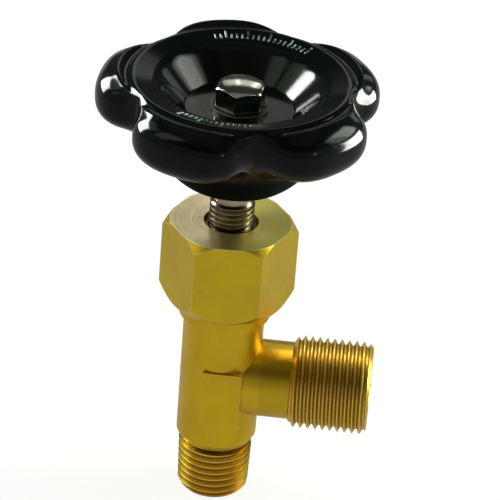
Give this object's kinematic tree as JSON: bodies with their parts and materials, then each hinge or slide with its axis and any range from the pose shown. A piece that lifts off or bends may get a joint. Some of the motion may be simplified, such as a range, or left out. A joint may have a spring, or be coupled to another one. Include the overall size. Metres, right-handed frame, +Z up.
{
  "type": "angle needle valve",
  "caption": "Brass angle needle valve: male taper inlet below, male parallel outlet at the side, hexagonal bonnet and rising spindle turned by a lobed black handwheel.",
  "frame": {"origin": "centre of the inlet's flat end face, on the spindle axis", "axes": "+Z up the spindle towards the handwheel, +X out along the outlet, with the valve shut"},
  "size_m": [0.0524, 0.0487, 0.0839],
  "materials": {
    "body_brass": "turned and forged yellow brass, satin",
    "bonnet_brass": "turned hexagon bar brass, satin",
    "packing_brass": "turned brass",
    "insert_brass": "moulded-in brass",
    "gasket_fibre": "pressed fibre",
    "packing_ptfe": "white PTFE",
    "needle_steel": "ground stainless steel",
    "spindle_steel": "rolled thread, nickel-plated steel",
    "washer_steel": "zinc-plated steel",
    "wheel_phenolic": "polished black phenolic",
    "nut_chrome": "bright chrome"
  },
  "bodies": {
    "valve_housing": {"valve_body": "body_brass", "bonnet": "bonnet_brass", "bonnet_gasket": "gasket_fibre", "packing_bottom_ring": "packing_brass", "packing_ring_lower": "packing_ptfe", "packing_ring_middle": "packing_ptfe", "packing_ring_upper": "packing_ptfe", "packing_top_ring": "packing_brass"},
    "needle_carrier": {"needle": "needle_steel", "thrust_ball": "needle_steel", "needle_snap_ring": "needle_steel"},
    "spindle_and_wheel": {"spindle": "spindle_steel", "handwheel": "wheel_phenolic", "handwheel_insert": "insert_brass", "handwheel_lock_washer": "washer_steel", "handwheel_nut": "nut_chrome"}
  },
  "joints": [
    {"name": "needle_lift", "type": "slide", "parent": "valve_housing", "child": "needle_carrier", "axis": [0, 0, 1], "range_m": [0, 0.004]},
    {"name": "handwheel_turn", "type": "hinge", "parent": "needle_carrier", "child": "spindle_and_wheel", "pos_m": [0, 0, 0.06], "axis": [0, 0, 1], "range_deg": [0, 1440]}
  ],
  "couplings": [
    {"joint": "needle_lift", "follows": "handwheel_turn", "m_per_rad": 0.00015915}
  ]
}
